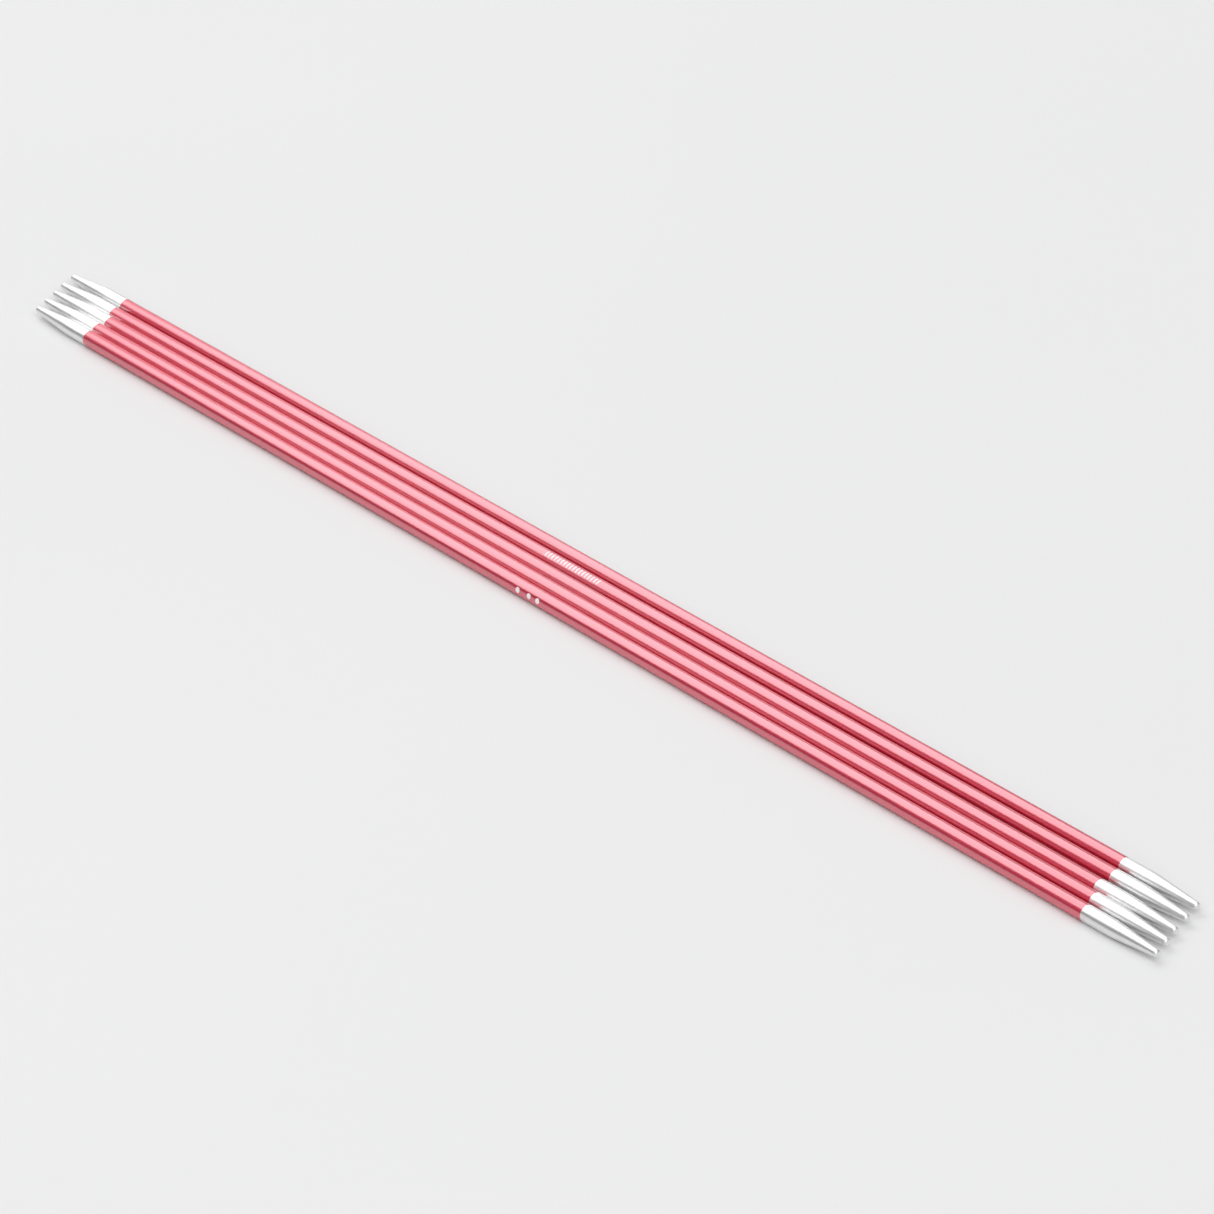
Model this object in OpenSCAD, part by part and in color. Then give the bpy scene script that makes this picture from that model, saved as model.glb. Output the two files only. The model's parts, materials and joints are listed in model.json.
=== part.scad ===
// Set of five straight double-pointed knitting needles, lying side by side on a flat surface.
// Millimetres. +X runs along the needles from their far ends to their near ends, +Y runs across the
// row from needle 5 to needle 1, and +Z is up. The surface is z = 0, and the origin is the middle
// of the row on that surface.

/* [Needle] */
// Length of a needle from tip to tip
needle_length = 200; // [150:10:250]
// Diameter of the shaft, which is the needle size
needle_d = 2.0; // [1.75:0.25:3]

/* [Point] */
// Nominal bright length of a point, from the end of the shaft to the tip
point_length = 11; // [9.5:0.5:16]
// Length over which the point narrows to its tip
taper_length = 6.7; // [5:0.1:8.5]
// Radius that rounds the tip over
tip_round = 0.25; // [0.15:0.05:0.5]
// Radius of the small flat in the middle of the tip
tip_flat = 0.2; // [0.05:0.05:0.25]

/* [Press fit] */
// Diameter of the spigot that holds the point in the shaft
spigot_d = 1.2; // [0.8:0.1:1.3]
// Length of the spigot
spigot_length = 6; // [4:0.5:10]
// Depth left free behind the spigot in its socket
socket_spare = 0.2; // [0.1:0.1:0.5]
// Chamfer on the spigot's end
spigot_chamfer = 0.1; // [0.05:0.05:0.2]

/* [Row] */
// How much longer than nominal each shaft is between its points, from needle 1 to needle 5
shaft_spread = [-0.2, 0, -1.3, 0, 0.4]; // [-1.5:0.1:0.6]
// How far each shaft's middle lies from its needle's middle, towards the far end
shaft_offset = 0.3; // [0:0.1:0.5]
// Gaps between neighbours at the far ends, from needle 1 to needle 5
far_gaps = [0.35, 0.05, 0.15, 0.05]; // [0.05:0.05:0.4]
// Gaps between neighbours at the near ends, from needle 1 to needle 5
near_gaps = [0.55, 0.75, 0.3, 0.5]; // [0.3:0.05:1]
// Step along the needles from each one to the next
stagger = 1.1; // [0:0.1:3]

/* [Hidden] */
NEEDLES = 5;
MIDDLE = 3;
$fn = 96;

needle_r = needle_d / 2;
spigot_r = spigot_d / 2;
socket_depth = spigot_length + socket_spare;
// Distance by which a socket passes through the shaft's end face, so that the cut is clean
overcut = 1;

// A point keeps the shaft's radius up to its taper. From there a cone runs down to the circle that
// rounds the tip, and meets it as a tangent.
drop = needle_r - tip_flat;
run = taper_length - tip_round;
taper_angle = atan(drop / run) - asin(tip_round / norm([drop, run]));
// Straight steps that stand for the tip's rounding
ROUND_STEPS = 8;

// All the needles are equally long, so a longer shaft leaves less for its points.
function shaft_length(n) = needle_length - 2 * point_length + shaft_spread[n - 1];

// Bright length of needle n's near point (end = 1) or of its far point (end = -1)
function bright_length(n, end) =
    (needle_length - shaft_length(n)) / 2 + end * shaft_offset;

// Y of needle n's axis, measured from the middle needle's, for one end's list of gaps
function row_y(gaps, n) =
    n == MIDDLE ? 0
    : n < MIDDLE ? row_y(gaps, n + 1) + needle_d + gaps[n - 1]
    : row_y(gaps, n - 1) - needle_d - gaps[n - 2];

// Angle between needle n and the X axis
function yaw(n) = asin((row_y(near_gaps, n) - row_y(far_gaps, n)) / needle_length);

// Y of needle n's axis at the distance "along" from its own middle towards its near end
function axis_y(n, along) =
    (row_y(near_gaps, n) + row_y(far_gaps, n)) / 2 + along * sin(yaw(n));

// The row is widest where the near points begin to taper, and is centred on its width there.
widest = needle_length / 2 - taper_length;
row_middle = (axis_y(1, widest) + needle_r * cos(yaw(1))
    + axis_y(NEEDLES, widest) - needle_r * cos(yaw(NEEDLES))) / 2;

// Lays needle n in its place in the row. Its pieces are drawn about the middle of its shaft.
module lay(n) {
    translate([(n - MIDDLE) * stagger, axis_y(n, 0) - row_middle, needle_r])
        rotate([0, 0, yaw(n)])
            translate([-shaft_offset, 0, 0])
                children();
}

// The hole that a spigot is pressed into, along +X from the end face at the origin.
module socket() {
    translate([-overcut, 0, 0])
        rotate([0, 90, 0])
            cylinder(r = spigot_r, h = overcut + socket_depth);
}

// A plain rod, with a blind socket in each end.
module shaft(length) {
    color("lightpink")
        difference() {
            rotate([0, 90, 0])
                cylinder(r = needle_r, h = length, center = true);
            translate([-length / 2, 0, 0])
                socket();
            translate([length / 2, 0, 0])
                rotate([0, 0, 180])
                    socket();
        }
}

// A turned point along +X, whose shoulder lies in the plane x = 0 with the spigot behind it.
module point(length) {
    rotate([0, 90, 0])
        rotate_extrude()
            polygon(concat(
                [
                    [0, -spigot_length],
                    [spigot_r - spigot_chamfer, -spigot_length],
                    [spigot_r, spigot_chamfer - spigot_length],
                    [spigot_r, 0],
                    [needle_r, 0],
                    [needle_r, length - taper_length]
                ],
                [
                    for (step = [0 : ROUND_STEPS])
                        let (a = taper_angle + (90 - taper_angle) * step / ROUND_STEPS)
                            [tip_flat + tip_round * cos(a), length - tip_round + tip_round * sin(a)]
                ],
                [[0, length]]
            ));
}

module near_point(n) {
    color("gainsboro")
        translate([shaft_length(n) / 2, 0, 0])
            point(bright_length(n, 1));
}

module far_point(n) {
    color("gainsboro")
        rotate([0, 0, 180])
            translate([shaft_length(n) / 2, 0, 0])
                point(bright_length(n, -1));
}

for (n = [1 : NEEDLES]) {
    lay(n) shaft(shaft_length(n));
    lay(n) far_point(n);
    lay(n) near_point(n);
}
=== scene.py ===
"""Looks for the row of straight double-pointed knitting needles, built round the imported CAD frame.

Metres throughout. Each needle is made along its own X axis, and laid in the row by the place and
direction that the record gives for it.
"""

import json
import math

import bpy
from mathutils import Matrix, Vector


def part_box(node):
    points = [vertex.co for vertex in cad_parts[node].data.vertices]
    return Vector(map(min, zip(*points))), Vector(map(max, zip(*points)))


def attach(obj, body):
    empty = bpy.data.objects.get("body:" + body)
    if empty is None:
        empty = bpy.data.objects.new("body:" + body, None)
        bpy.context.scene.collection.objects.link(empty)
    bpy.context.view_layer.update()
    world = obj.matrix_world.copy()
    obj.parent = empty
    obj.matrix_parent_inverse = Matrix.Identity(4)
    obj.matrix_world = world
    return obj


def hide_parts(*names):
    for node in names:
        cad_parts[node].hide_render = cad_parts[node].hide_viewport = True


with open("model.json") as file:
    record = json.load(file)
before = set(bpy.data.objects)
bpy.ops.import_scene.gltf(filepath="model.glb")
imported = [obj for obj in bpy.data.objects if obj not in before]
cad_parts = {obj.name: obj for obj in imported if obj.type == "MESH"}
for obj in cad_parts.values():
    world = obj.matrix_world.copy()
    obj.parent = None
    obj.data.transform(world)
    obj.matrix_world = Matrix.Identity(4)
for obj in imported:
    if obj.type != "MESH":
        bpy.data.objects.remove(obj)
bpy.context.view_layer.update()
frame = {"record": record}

MM = 0.001
NEEDLES = 5

# The shaft's and the points' hidden sizes, which the frame's boxes don't show.
TAPER_LENGTH = 6.7 * MM
TIP_ROUND = 0.25 * MM
TIP_FLAT = 0.2 * MM
SPIGOT_R = 0.6 * MM
SPIGOT_LENGTH = 6.0 * MM
SPIGOT_PLAY = 0.01 * MM
SOCKET_DEPTH = 6.2 * MM

# Fine finishing that the eye finds at the edges.
EDGE_BREAK = 0.025 * MM
TAPER_BLEND = 0.9 * MM
# How far a point's outside stays within its CAD node, so that no rounding takes it past the CAD's box.
INSET = 0.0005 * MM

# How finely the meshes follow their curves, and the angle in degrees from which an edge stays crisp.
AROUND = 72
EDGE_STEPS = 4
BLEND_STEPS = 8
TIP_STEPS = 10
CRISP_ANGLE = 35

# Printed marks: plain bars on one side of each shaft, and plain dots on the other. The shaft is a little
# slimmer than its CAD node, so that the ink has room inside the node's radius.
INK_HEIGHT = 0.004 * MM
INK_ROOM = 0.005 * MM
FILM_ROWS = 12
FILM_END = 0.06
BAR_COUNT = 18
BAR_PITCH = 0.54 * MM
BAR_LENGTH = 0.26 * MM
BAR_WIDTH = 0.85 * MM
BAR_CORNER = 0.08 * MM
BARS_MIDDLE = -1.25 * MM
DOT_SIZE = 0.7 * MM
DOTS = (-5.45 * MM, -3.45 * MM, -1.9 * MM)
# Where each needle's bars sit round its shaft, in degrees from level on the -Y side up over the top.
BARS_TURN = {1: 158, 2: 70, 3: 166, 4: 152, 5: 191}

# The camera looks at a point near the row's middle, from the front right and above. Angles are in degrees.
CAMERA_AZIMUTH = 49.79
CAMERA_ELEVATION = 28.43
CAMERA_ROLL = 0.24
CAMERA_DISTANCE = 0.8913
CAMERA_TARGET = Vector((5.87 * MM, -0.195 * MM, 0.99 * MM))
SENSOR = 36.0
LENS = 230.9

# The plain square floor's side.
FLOOR_SIZE = 2.4

# Softboxes, each square to the line from its place to the row's middle: the direction to it, its distance,
# its level width, its height and the shift of its centre across and up, for a distance of 1, and its
# radiance. The key makes the bright bands on top of the needles. The fill softens the shadows on the floor,
# and the back light draws the thin bright line along the upper edges.
SOFTBOXES = {
    "key": {
        "direction": (-0.67, 0, 0.74),
        "distance": 2.0,
        "width": 1.53,
        "height": 0.74,
        "shift": (-0.035, 0.018),
        "radiance": 2.0,
    },
    "fill": {
        "direction": (0.62, -0.40, 0.68),
        "distance": 2.5,
        "width": 1.6,
        "height": 1.0,
        "shift": (0, 0),
        "radiance": 1.9,
    },
    "back": {
        "direction": (-0.65, 0.72, 0.17),
        "distance": 2.5,
        "width": 1.2,
        "height": 0.34,
        "shift": (0, 0),
        "radiance": 0.5,
    },
}

# The room's grey at the horizon, at the height below and overhead, and what the camera sees past the floor.
ROOM_HORIZON = 0.05
ROOM_SIDE = 0.39
ROOM_OVERHEAD = 0.42
SIDE_HEIGHT = 0.35
PAST_FLOOR = 0.82

# The dark flag's direction, the angles in degrees of its full dark and of its soft edge, and its share of
# the room's light.
FLAG_DIRECTION = (-0.67, -0.70, 0.23)
FLAG_CORE = 20
FLAG_EDGE = 42
FLAG_LEVEL = 0.46

# The band that holds nearly all of the noise's values.
NOISE_LOW = 0.3
NOISE_HIGH = 0.7
# The height that the bump maps stand for.
GRAIN_HEIGHT = 0.002 * MM


# Mesh helpers

def finish_mesh(name, vertices, faces, place):
    """A smooth-shaded object from plain lists, with its sharper edges kept crisp.

    Its place goes into the vertices, as it does in the CAD nodes, so that a turned needle's box is exact.
    """
    mesh = bpy.data.meshes.new(name)
    mesh.from_pydata(vertices, [], faces)
    mesh.transform(place)
    mesh.validate()
    mesh.shade_smooth()
    mesh.set_sharp_from_angle(angle=math.radians(CRISP_ANGLE))
    made = bpy.data.objects.new(name, mesh)
    bpy.context.scene.collection.objects.link(made)
    return made


def lathe(name, profile, place):
    """Turns a profile of (along, radius) about the X axis into a closed mesh. Both ends have radius 0."""
    vertices = []
    rings = []
    for along, radius in profile:
        count = 1 if radius == 0 else AROUND
        rings.append(range(len(vertices), len(vertices) + count))
        for k in range(count):
            turn = 2 * math.pi * k / AROUND
            vertices.append((along, radius * math.cos(turn), radius * math.sin(turn)))
    faces = []
    for a, b in zip(rings, rings[1:]):
        for k in range(AROUND):
            n = (k + 1) % AROUND
            corners = [a[k % len(a)], a[n % len(a)], b[n % len(b)], b[k % len(b)]]
            faces.append(list(dict.fromkeys(corners)))
    return finish_mesh(name, vertices, faces, place)


def arc(centre, radius, start, stop, steps):
    """Points (along, radius) on an arc, with angles in degrees from the outward radius towards +X."""
    made = []
    for step in range(steps + 1):
        a = math.radians(start + (stop - start) * step / steps)
        made.append((centre[0] + radius * math.sin(a), centre[1] + radius * math.cos(a)))
    return made


def blend_corner(before, corner, after, reach, steps):
    """Rounds a corner with a smooth curve that starts and ends at the distance reach from it."""
    c = Vector(corner)
    a = c + (Vector(before) - c).normalized() * reach
    b = c + (Vector(after) - c).normalized() * reach
    curve = []
    for step in range(steps + 1):
        t = step / steps
        curve.append(tuple(a * (1 - t) ** 2 + c * 2 * t * (1 - t) + b * t ** 2))
    return curve


def film(along, turn, length, width, corner, radius):
    """A thin closed film that lies round a shaft: a rectangle with rounded corners, or a dot."""
    vertices = []
    for row in range(FILM_ROWS + 1):
        v = -width / 2 * math.cos(math.pi * row / FILM_ROWS)
        past = max(0.0, abs(v) - (width / 2 - corner))
        half = length / 2 - corner + math.sqrt(corner ** 2 - past ** 2)
        half = max(half, length * FILM_END)
        angle = math.radians(turn) + v / radius
        for r in (radius, radius + INK_HEIGHT):
            for x in (along - half, along + half):
                vertices.append((x, -r * math.cos(angle), r * math.sin(angle)))
    faces = [(0, 1, 3, 2)]
    for row in range(FILM_ROWS):
        a = 4 * row
        b = a + 4
        faces += [(a, b, b + 1, a + 1), (a + 2, a + 3, b + 3, b + 2)]
        faces += [(a, a + 2, b + 2, b), (a + 1, b + 1, b + 3, a + 3)]
    last = 4 * FILM_ROWS
    faces.append((last, last + 2, last + 3, last + 1))
    return vertices, faces


def print_row(name, centres, place, **shape):
    """One mesh of the same film at each of the centres along a shaft."""
    vertices = []
    faces = []
    for along in centres:
        more_vertices, more_faces = film(along, **shape)
        faces += [[k + len(vertices) for k in face] for face in more_faces]
        vertices += more_vertices
    return finish_mesh(name, vertices, faces, place)


# Materials

def principled(name):
    """A new node material, with its shader and its tree."""
    material = bpy.data.materials.new(name)
    material.use_nodes = True
    tree = material.node_tree
    shader = next(n for n in tree.nodes if n.type == "BSDF_PRINCIPLED")
    return material, tree, shader


def stretched_noise(tree, stretch, scale, detail):
    """Noise in the piece's own coordinates, with its grain stretched by each axis' factor."""
    where = tree.nodes.new("ShaderNodeTexCoord")
    mapping = tree.nodes.new("ShaderNodeMapping")
    mapping.inputs["Scale"].default_value = stretch
    noise = tree.nodes.new("ShaderNodeTexNoise")
    noise.inputs["Scale"].default_value = scale
    noise.inputs["Detail"].default_value = detail
    tree.links.new(where.outputs["Object"], mapping.inputs["Vector"])
    tree.links.new(mapping.outputs["Vector"], noise.inputs["Vector"])
    return noise.outputs["Fac"]


def spread(tree, value, low, high):
    """Maps noise, which stays near its middle, to the range low to high."""
    ranged = tree.nodes.new("ShaderNodeMapRange")
    ranged.inputs["From Min"].default_value = NOISE_LOW
    ranged.inputs["From Max"].default_value = NOISE_HIGH
    ranged.inputs["To Min"].default_value = low
    ranged.inputs["To Max"].default_value = high
    tree.links.new(value, ranged.inputs["Value"])
    return ranged.outputs["Result"]


def two_tones(tree, value, first, second):
    """Runs between two colours with a value from 0 to 1."""
    ramp = tree.nodes.new("ShaderNodeValToRGB")
    ramp.color_ramp.elements[0].color = (*first, 1.0)
    ramp.color_ramp.elements[1].color = (*second, 1.0)
    tree.links.new(value, ramp.inputs["Fac"])
    return ramp.outputs["Color"]


def bump(tree, shader, height, strength):
    """Raises the surface by up to the grain's height, where the strength is 1."""
    node = tree.nodes.new("ShaderNodeBump")
    node.inputs["Strength"].default_value = strength
    node.inputs["Distance"].default_value = GRAIN_HEIGHT
    tree.links.new(height, node.inputs["Height"])
    tree.links.new(node.outputs["Normal"], shader.inputs["Normal"])


def pink_anodised():
    """Satin dyed aluminium: a saturated metal under a clear oxide, with faint lines of drawing."""
    material, tree, shader = principled("pink_anodised")
    cloud = spread(tree, stretched_noise(tree, (0.25, 1, 1), scale=900, detail=2), 0, 1)
    colour = two_tones(tree, cloud, (0.685, 0.003, 0.062), (0.72, 0.003, 0.065))
    tree.links.new(colour, shader.inputs["Base Color"])
    grain = stretched_noise(tree, (0.06, 1, 1), scale=9000, detail=3)
    tree.links.new(spread(tree, grain, 0.52, 0.58), shader.inputs["Roughness"])
    bump(tree, shader, grain, strength=0.12)
    shader.inputs["Metallic"].default_value = 1.0
    shader.inputs["Coat Weight"].default_value = 1.0
    shader.inputs["Coat Roughness"].default_value = 0.23
    shader.inputs["Coat IOR"].default_value = 2.6
    return material


def bright_metal():
    """Polished silvery metal with the faint rings that turning and buffing leave."""
    material, tree, shader = principled("bright_metal")
    rings = stretched_noise(tree, (1, 0.04, 0.04), scale=7000, detail=3)
    smudge = spread(tree, stretched_noise(tree, (1, 1, 1), scale=1100, detail=2), 0, 1)
    colour = two_tones(tree, smudge, (0.82, 0.82, 0.82), (0.85, 0.85, 0.85))
    tree.links.new(colour, shader.inputs["Base Color"])
    tree.links.new(spread(tree, rings, 0.36, 0.42), shader.inputs["Roughness"])
    bump(tree, shader, rings, strength=0.08)
    shader.inputs["Metallic"].default_value = 1.0
    return material


def white_ink():
    """Matt white print, a little uneven in tone."""
    material, tree, shader = principled("white_ink")
    tone = spread(tree, stretched_noise(tree, (1, 1, 1), scale=5000, detail=3), 0, 1)
    colour = two_tones(tree, tone, (0.83, 0.75, 0.76), (0.88, 0.81, 0.82))
    tree.links.new(colour, shader.inputs["Base Color"])
    shader.inputs["Roughness"].default_value = 0.5
    return material


def pale_paper():
    """The plain pale surface that the needles lie on."""
    material, tree, shader = principled("pale_paper")
    tone = spread(tree, stretched_noise(tree, (1, 1, 1), scale=6, detail=2), 0, 1)
    colour = two_tones(tree, tone, (0.708, 0.709, 0.712), (0.722, 0.722, 0.724))
    tree.links.new(colour, shader.inputs["Base Color"])
    shader.inputs["Roughness"].default_value = 0.9
    shader.inputs["Specular IOR Level"].default_value = 0.2
    return material


PINK = pink_anodised()
BRIGHT = bright_metal()
INK = white_ink()


# The needles

MOUNTS = {m["name"]: m for m in frame["record"]["mounts"]}
MIDDLE = (NEEDLES + 1) // 2
SHAFT_R = MOUNTS[f"needle_{MIDDLE}_slide"]["dims"]["r_mm"] * MM
MIDDLE_X = MOUNTS[f"needle_{MIDDLE}_slide"]["pos_m"][0]
# How far each tip is from the middle of its needle's shaft, which is the same on all the needles. The
# middle needle lies straight along X, so its boxes show it.
REACH = {
    "near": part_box(f"needle_{MIDDLE}_near_point")[1].x - MIDDLE_X,
    "far": MIDDLE_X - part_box(f"needle_{MIDDLE}_far_point")[0].x,
}


def place_of(n):
    """The matrix that lays needle n, made along X about its shaft's middle, in its place in the row."""
    mount = MOUNTS[f"needle_{n}_slide"]
    direction = Vector(mount["axis"])
    turn = math.atan2(direction.y, direction.x)
    return Matrix.Translation(mount["pos_m"]) @ Matrix.Rotation(turn, 4, "Z")


def dress(piece, material, body):
    """Gives a piece its material, and the body that it moves with."""
    piece.data.materials.append(material)
    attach(piece, body)


def shaft_profile(half):
    """The rod's outline, from the bottom of one socket, over the outside, to the bottom of the other."""
    r = SHAFT_R - INK_ROOM
    near = [
        *arc((half - EDGE_BREAK, r - EDGE_BREAK), EDGE_BREAK, 0, 90, EDGE_STEPS),
        (half, SPIGOT_R),
        (half - SOCKET_DEPTH, SPIGOT_R),
        (half - SOCKET_DEPTH, 0),
    ]
    far = [(-along, radius) for along, radius in reversed(near)]
    return far + near


def point_profile(length):
    """A point's outline from the spigot's end to the tip, with its shoulder at 0."""
    spigot = SPIGOT_R - SPIGOT_PLAY
    r = SHAFT_R - INSET
    length -= INSET
    start = length - TAPER_LENGTH
    centre = length - TIP_ROUND
    drop = r - TIP_FLAT
    run = centre - start
    slope = math.atan(drop / run) - math.asin(TIP_ROUND / math.hypot(drop, run))
    tip = arc((centre, TIP_FLAT), TIP_ROUND, math.degrees(slope), 90, TIP_STEPS)
    return [
        (-SPIGOT_LENGTH, 0),
        (-SPIGOT_LENGTH, spigot - EDGE_BREAK),
        (-SPIGOT_LENGTH + EDGE_BREAK, spigot),
        (0, spigot),
        *arc((EDGE_BREAK, r - EDGE_BREAK), EDGE_BREAK, -90, 0, EDGE_STEPS),
        *blend_corner((0, r), (start, r), tip[0], TAPER_BLEND, BLEND_STEPS),
        *tip,
        (length, 0),
    ]


def add_needle(n):
    """One needle: its shaft, its two points and its printed marks, all on one body."""
    body = f"needle_{n}"
    place = place_of(n)
    half_shaft = MOUNTS[f"{body}_slide"]["dims"]["length_mm"] * MM / 2
    shaft = lathe(f"{body}_rod", shaft_profile(half_shaft), place)
    dress(shaft, PINK, body)
    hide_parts(f"{body}_shaft")
    for end, turn in (("near", 0), ("far", math.pi)):
        outline = point_profile(REACH[end] - half_shaft)
        shoulder = Matrix.Rotation(turn, 4, "Z") @ Matrix.Translation((half_shaft, 0, 0))
        point = lathe(f"{body}_{end}_tip", outline, place @ shoulder)
        dress(point, BRIGHT, body)
        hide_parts(f"{body}_{end}_point")
    add_marks(n, body, place)


def add_marks(n, body, place):
    """The row of bars on one side of the shaft, and the dots opposite them."""
    radius = SHAFT_R - INK_ROOM
    bars = [BARS_MIDDLE + (k - (BAR_COUNT - 1) / 2) * BAR_PITCH for k in range(BAR_COUNT)]
    bar = {"length": BAR_LENGTH, "width": BAR_WIDTH, "corner": BAR_CORNER}
    row = print_row(f"{body}_bars", bars, place, turn=BARS_TURN[n], radius=radius, **bar)
    dress(row, INK, body)
    dot = {"length": DOT_SIZE, "width": DOT_SIZE, "corner": DOT_SIZE / 2}
    row = print_row(f"{body}_dots", DOTS, place, turn=BARS_TURN[n] + 180, radius=radius, **dot)
    dress(row, INK, body)


for n in range(1, NEEDLES + 1):
    add_needle(n)


# Floor, light and camera

def add_floor():
    """The pale square surface at z = 0."""
    mesh = bpy.data.meshes.new("floor")
    h = FLOOR_SIZE / 2
    mesh.from_pydata([(-h, -h, 0), (h, -h, 0), (h, h, 0), (-h, h, 0)], [], [(0, 1, 2, 3)])
    floor = bpy.data.objects.new("floor", mesh)
    bpy.context.scene.collection.objects.link(floor)
    mesh.materials.append(pale_paper())


def add_softbox(name, direction, distance, width, height, shift, radiance):
    """A rectangular area light, with its width level, whose sizes and shift grow with its distance."""
    light = bpy.data.lights.new(name, "AREA")
    light.shape = "RECTANGLE"
    light.size = width * distance
    light.size_y = height * distance
    light.energy = radiance * math.pi * light.size * light.size_y
    lamp = bpy.data.objects.new(name, light)
    bpy.context.scene.collection.objects.link(lamp)
    towards = Vector(direction).normalized()
    turn = towards.to_track_quat("Z", "Y").to_matrix()
    centre = towards + turn @ Vector((shift[0], shift[1], 0))
    lamp.matrix_world = Matrix.Translation(centre * distance) @ turn.to_4x4()


def grey(level):
    """An opaque neutral colour."""
    return (level, level, level, 1.0)


def add_world():
    """A soft room, brighter overhead, with a dark flag at the front left that the shafts' dark lines mirror.

    What the camera sees past the floor is pale.
    """
    world = bpy.data.worlds.new("room")
    bpy.context.scene.world = world
    world.use_nodes = True
    tree = world.node_tree
    tree.nodes.clear()
    where = tree.nodes.new("ShaderNodeTexCoord")
    split = tree.nodes.new("ShaderNodeSeparateXYZ")
    ramp = tree.nodes.new("ShaderNodeValToRGB")
    facing = tree.nodes.new("ShaderNodeVectorMath")
    shade = tree.nodes.new("ShaderNodeMapRange")
    room = tree.nodes.new("ShaderNodeBackground")
    pale = tree.nodes.new("ShaderNodeBackground")
    path = tree.nodes.new("ShaderNodeLightPath")
    mix = tree.nodes.new("ShaderNodeMixShader")
    output = tree.nodes.new("ShaderNodeOutputWorld")
    stops = ramp.color_ramp.elements
    stops[0].color = grey(ROOM_HORIZON)
    stops[1].color = grey(ROOM_OVERHEAD)
    stops.new(SIDE_HEIGHT).color = grey(ROOM_SIDE)
    facing.operation = "DOT_PRODUCT"
    facing.inputs[1].default_value = Vector(FLAG_DIRECTION).normalized()
    shade.interpolation_type = "SMOOTHSTEP"
    shade.inputs["From Min"].default_value = math.cos(math.radians(FLAG_EDGE))
    shade.inputs["From Max"].default_value = math.cos(math.radians(FLAG_CORE))
    shade.inputs["To Min"].default_value = 1.0
    shade.inputs["To Max"].default_value = FLAG_LEVEL
    pale.inputs["Color"].default_value = grey(PAST_FLOOR)
    links = tree.links
    links.new(where.outputs["Generated"], split.inputs["Vector"])
    links.new(split.outputs["Z"], ramp.inputs["Fac"])
    links.new(ramp.outputs["Color"], room.inputs["Color"])
    links.new(where.outputs["Generated"], facing.inputs[0])
    links.new(facing.outputs["Value"], shade.inputs["Value"])
    links.new(shade.outputs["Result"], room.inputs["Strength"])
    links.new(path.outputs["Is Camera Ray"], mix.inputs["Fac"])
    links.new(room.outputs["Background"], mix.inputs[1])
    links.new(pale.outputs["Background"], mix.inputs[2])
    links.new(mix.outputs["Shader"], output.inputs["Surface"])


def add_camera():
    """The view from the front right and above, with a long lens."""
    a = math.radians(CAMERA_AZIMUTH)
    e = math.radians(CAMERA_ELEVATION)
    back = Vector((math.sin(a) * math.cos(e), -math.cos(a) * math.cos(e), math.sin(e)))
    data = bpy.data.cameras.new("camera")
    data.sensor_width = SENSOR
    data.lens = LENS
    camera = bpy.data.objects.new("camera", data)
    bpy.context.scene.collection.objects.link(camera)
    turn = back.to_track_quat("Z", "Y").to_matrix().to_4x4()
    camera.matrix_world = (
        Matrix.Translation(CAMERA_TARGET + back * CAMERA_DISTANCE)
        @ turn
        @ Matrix.Rotation(math.radians(CAMERA_ROLL), 4, "Z")
    )
    bpy.context.scene.camera = camera


add_floor()
for name, softbox in SOFTBOXES.items():
    add_softbox(name, **softbox)
add_world()
add_camera()
bpy.context.scene.view_settings.view_transform = "Standard"
